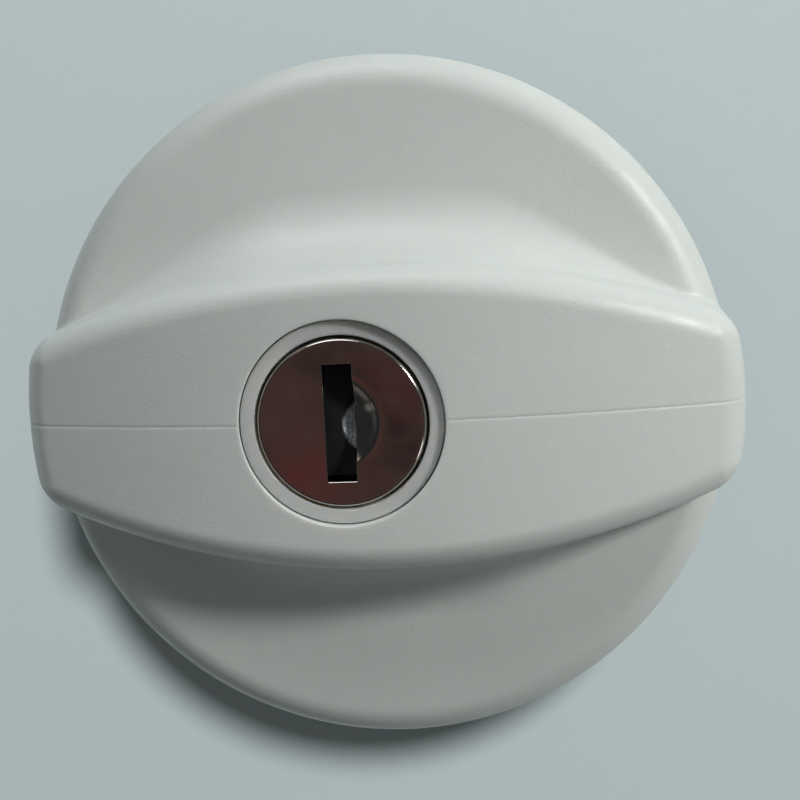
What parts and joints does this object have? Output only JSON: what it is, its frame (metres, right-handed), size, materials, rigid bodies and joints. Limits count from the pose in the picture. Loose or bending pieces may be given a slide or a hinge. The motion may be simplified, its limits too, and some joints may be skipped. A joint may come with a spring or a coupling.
{
  "type": "keyed window lock",
  "caption": "White round twist cap with a raised grip bar, a keyed wafer lock set in the bar, and a bayonet neck with key-driven locking bolts.",
  "frame": {"origin": "centre of the flat underside of the neck, on which the cap stands", "axes": "+Z along the cap's axis, out of the grip; +X along the grip bar; the lock barrel stands 2.5 mm towards -X"},
  "size_m": [0.0614, 0.06, 0.0352],
  "materials": {
    "white_plastic": "white ABS with a fine spark-eroded grain",
    "white_nylon": "smooth white nylon",
    "black_nylon": "black glass-filled nylon",
    "chrome_face": "bright chromed sheet, lightly worn",
    "zinc": "die-cast zinc alloy, as cast",
    "shutter_steel": "blackened steel",
    "steel": "bright steel",
    "spring_steel": "spring steel",
    "screw_steel": "zinc-plated steel",
    "brass": "stamped brass",
    "gasket_rubber": "black EPDM"
  },
  "bodies": {
    "cap": {"knob_shell": "white_plastic", "lock_sleeve": "white_nylon", "sleeve_clip": "spring_steel", "neck": "black_nylon", "flange_gasket": "gasket_rubber", "neck_screws": "screw_steel", "bolt_plate": "steel", "plate_screws": "screw_steel"},
    "plug": {"plug": "zinc", "plug_face_cap": "chrome_face", "plug_circlip": "spring_steel", "shutter_pin": "steel", "shutter_spring": "spring_steel", "cam_disc": "zinc", "cam_screw": "screw_steel", "wafer_spring_1": "spring_steel", "wafer_spring_2": "spring_steel", "wafer_spring_3": "spring_steel", "wafer_spring_4": "spring_steel", "wafer_spring_5": "spring_steel"},
    "shutter": {"shutter": "shutter_steel"},
    "bolt_back": {"bolt_back": "zinc", "bolt_pin_back": "steel"},
    "bolt_front": {"bolt_front": "zinc", "bolt_pin_front": "steel"},
    "wafer_1": {"wafer_1": "brass"},
    "wafer_2": {"wafer_2": "brass"},
    "wafer_3": {"wafer_3": "brass"},
    "wafer_4": {"wafer_4": "brass"},
    "wafer_5": {"wafer_5": "brass"}
  },
  "joints": [
    {"name": "plug_turn", "type": "hinge", "parent": "cap", "child": "plug", "pos_m": [-0.0025, 0, 0.0345], "axis": [0, 0, -1], "range_deg": [0, 90]},
    {"name": "shutter_swing", "type": "hinge", "parent": "plug", "child": "shutter", "pos_m": [-0.00505, 0, 0.0323], "axis": [0, 1, 0], "range_deg": [0, 84], "stiffness_Nm_per_rad": 0.0002, "deforming": ["shutter_spring"]},
    {"name": "bolt_back_slide", "type": "slide", "parent": "cap", "child": "bolt_back", "axis": [0, 1, 0], "range_m": [0, 0.0035]},
    {"name": "bolt_front_slide", "type": "slide", "parent": "cap", "child": "bolt_front", "axis": [0, -1, 0], "range_m": [0, 0.0035]},
    {"name": "wafer_1_slide", "type": "slide", "parent": "plug", "child": "wafer_1", "axis": [0, 1, 0], "range_m": [-0.0008, 0.0008], "stiffness_N_per_m": 200, "deforming": ["wafer_spring_1"]},
    {"name": "wafer_2_slide", "type": "slide", "parent": "plug", "child": "wafer_2", "axis": [0, 1, 0], "range_m": [-0.0008, 0.0008], "stiffness_N_per_m": 200, "deforming": ["wafer_spring_2"]},
    {"name": "wafer_3_slide", "type": "slide", "parent": "plug", "child": "wafer_3", "axis": [0, 1, 0], "range_m": [-0.0008, 0.0008], "stiffness_N_per_m": 200, "deforming": ["wafer_spring_3"]},
    {"name": "wafer_4_slide", "type": "slide", "parent": "plug", "child": "wafer_4", "axis": [0, 1, 0], "range_m": [-0.0008, 0.0008], "stiffness_N_per_m": 200, "deforming": ["wafer_spring_4"]},
    {"name": "wafer_5_slide", "type": "slide", "parent": "plug", "child": "wafer_5", "axis": [0, 1, 0], "range_m": [-0.0008, 0.0008], "stiffness_N_per_m": 200, "deforming": ["wafer_spring_5"]}
  ],
  "couplings": [
    {"joint": "bolt_back_slide", "follows": "plug_turn", "m_per_rad": 0.0022282},
    {"joint": "bolt_front_slide", "follows": "plug_turn", "m_per_rad": 0.0022282}
  ]
}
